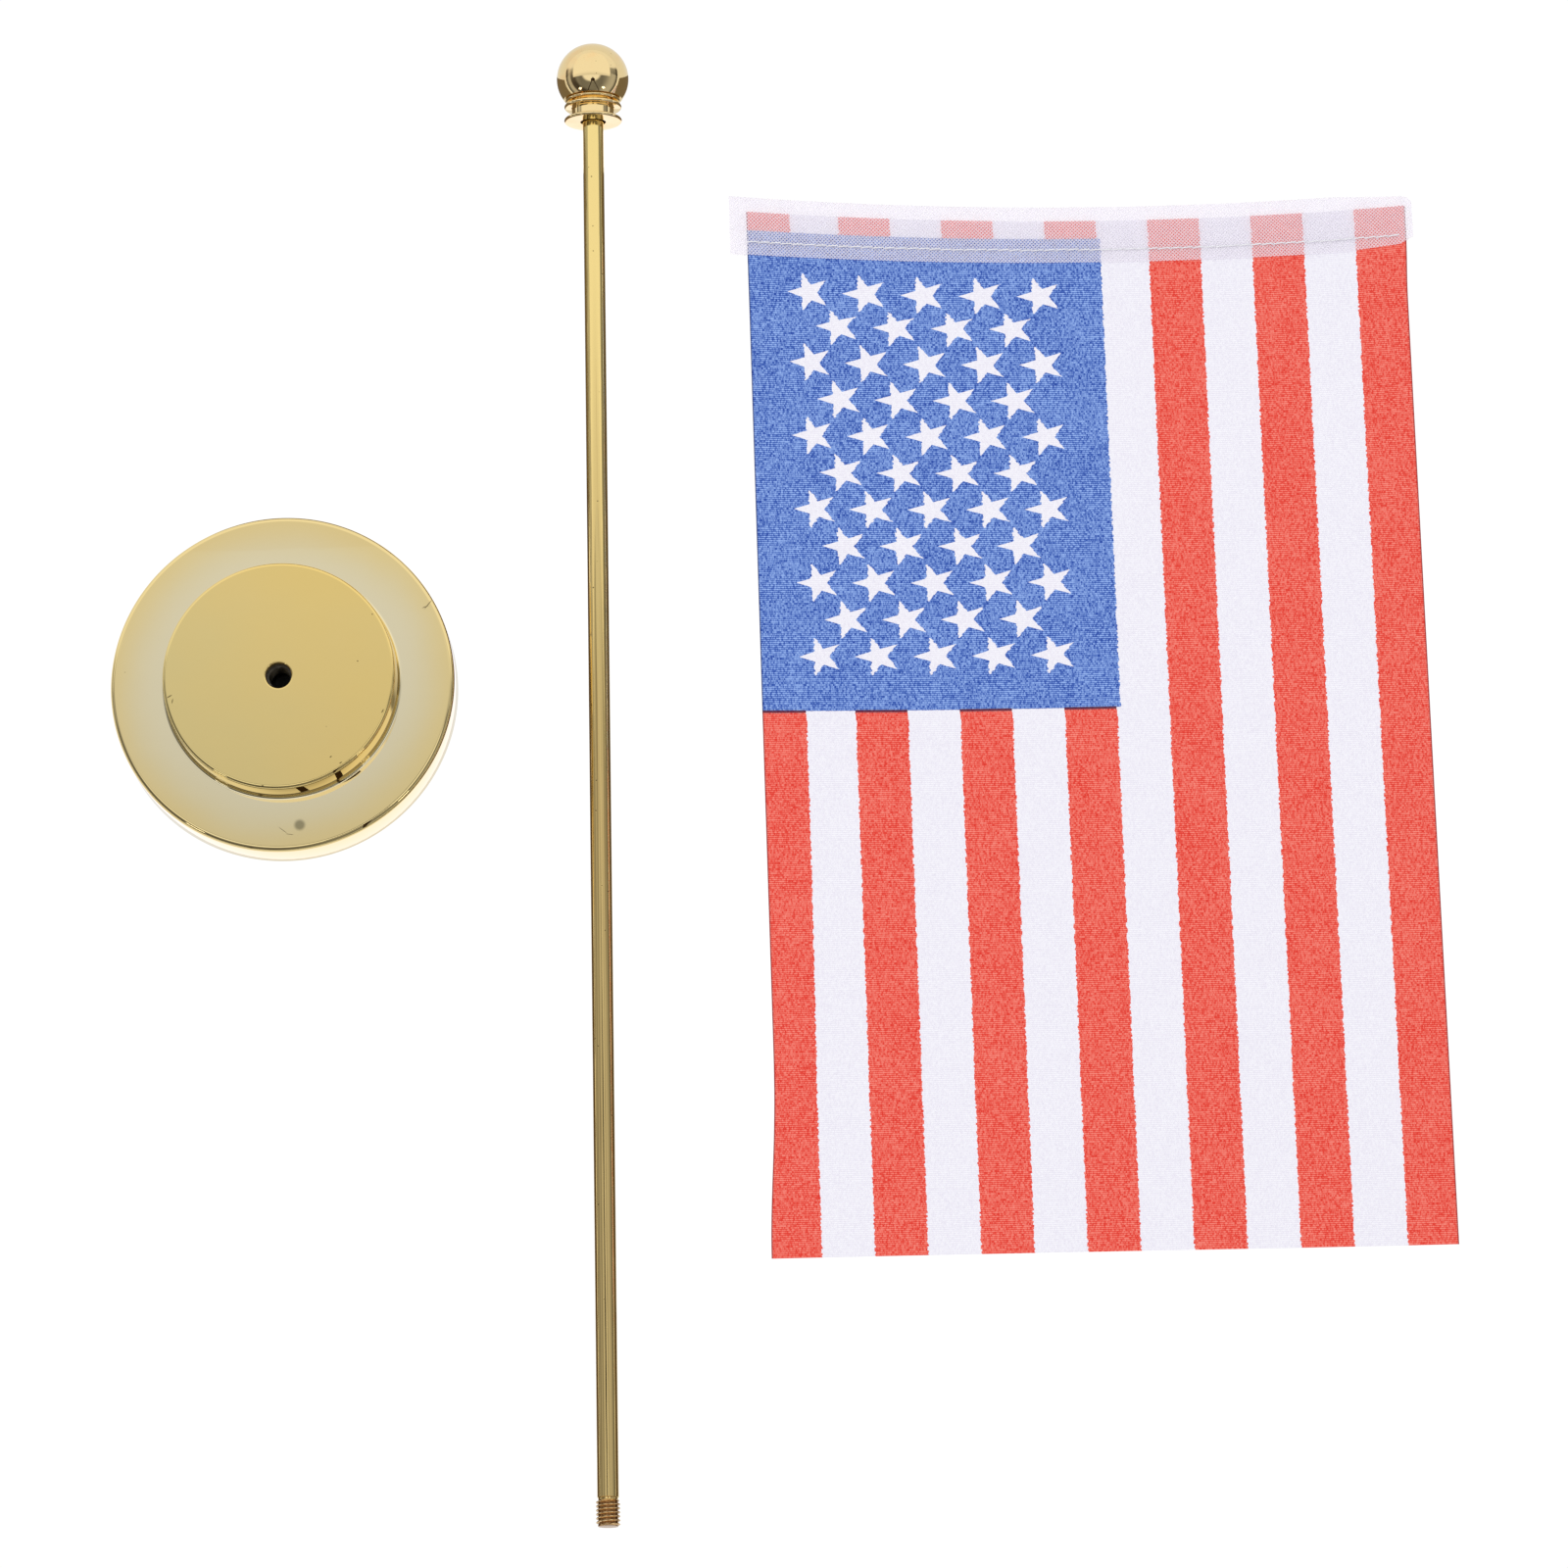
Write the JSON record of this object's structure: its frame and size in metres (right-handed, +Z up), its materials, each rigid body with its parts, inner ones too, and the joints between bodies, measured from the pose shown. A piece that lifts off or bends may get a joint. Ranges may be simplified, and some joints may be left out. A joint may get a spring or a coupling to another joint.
{
  "type": "desk flag stand",
  "caption": "Desk flag stand laid out as a kit: weighted two-tier round base, pole with screw-on ball finial, and a small printed flag with a tape sleeve.",
  "frame": {"origin": "centre of the base's underside, on the surface that the kit lies on", "axes": "+Z up, along the base's pole socket; +Y along the lying pole, from its foot thread to its finial; +X from the base towards the pole and the flag"},
  "size_m": [0.2684, 0.3074, 0.0158],
  "materials": {
    "gold_plate": "mirror gold plating over a plastic moulding",
    "black_nut": "black oxide steel",
    "black_plastic": "matt moulded black",
    "ballast_iron": "raw",
    "foot_foam": "fine-celled foam with a matt skin",
    "pole_brass": "drawn, lacquered, with rolled threads",
    "finial_gold": "mirror gold plating over a plastic moulding",
    "insert_brass": "turned",
    "flag_cloth": "woven polyester, printed red, white and blue",
    "sleeve_tape": "sheer white tape with a fine diamond mesh",
    "white_thread": "twisted white sewing thread"
  },
  "bodies": {
    "base": {"base_shell": "gold_plate", "socket_nut": "black_nut", "socket_core": "black_plastic", "ballast_ring": "ballast_iron", "base_cover": "black_plastic", "foot_pad": "foot_foam"},
    "pole": {"pole_rod": "pole_brass"},
    "finial_bush": {"finial_insert": "insert_brass"},
    "finial": {"finial_ball": "finial_gold"},
    "flag": {"flag_panel": "flag_cloth", "pole_sleeve": "sleeve_tape", "needle_thread": "white_thread", "bobbin_thread": "white_thread"}
  },
  "joints": [
    {"name": "pole_lift", "type": "slide", "parent": "base", "child": "pole", "axis": [0, 0, 1], "range_m": [0, 0.04]},
    {"name": "finial_travel", "type": "slide", "parent": "pole", "child": "finial_bush", "axis": [0, 0.9999, 0.0166], "range_m": [0, 0.0056]},
    {"name": "finial_turn", "type": "hinge", "parent": "finial_bush", "child": "finial", "pos_m": [0.0641, 0.12751, 0.0074], "axis": [0, 0.9999, 0.0166], "range_deg": [0, 2520]},
    {"name": "flag_lift", "type": "slide", "parent": "base", "child": "flag", "axis": [0, 0, 1], "range_m": [0, 0.03]}
  ],
  "couplings": [
    {"joint": "finial_turn", "follows": "finial_travel", "rad_per_m": 7854}
  ]
}
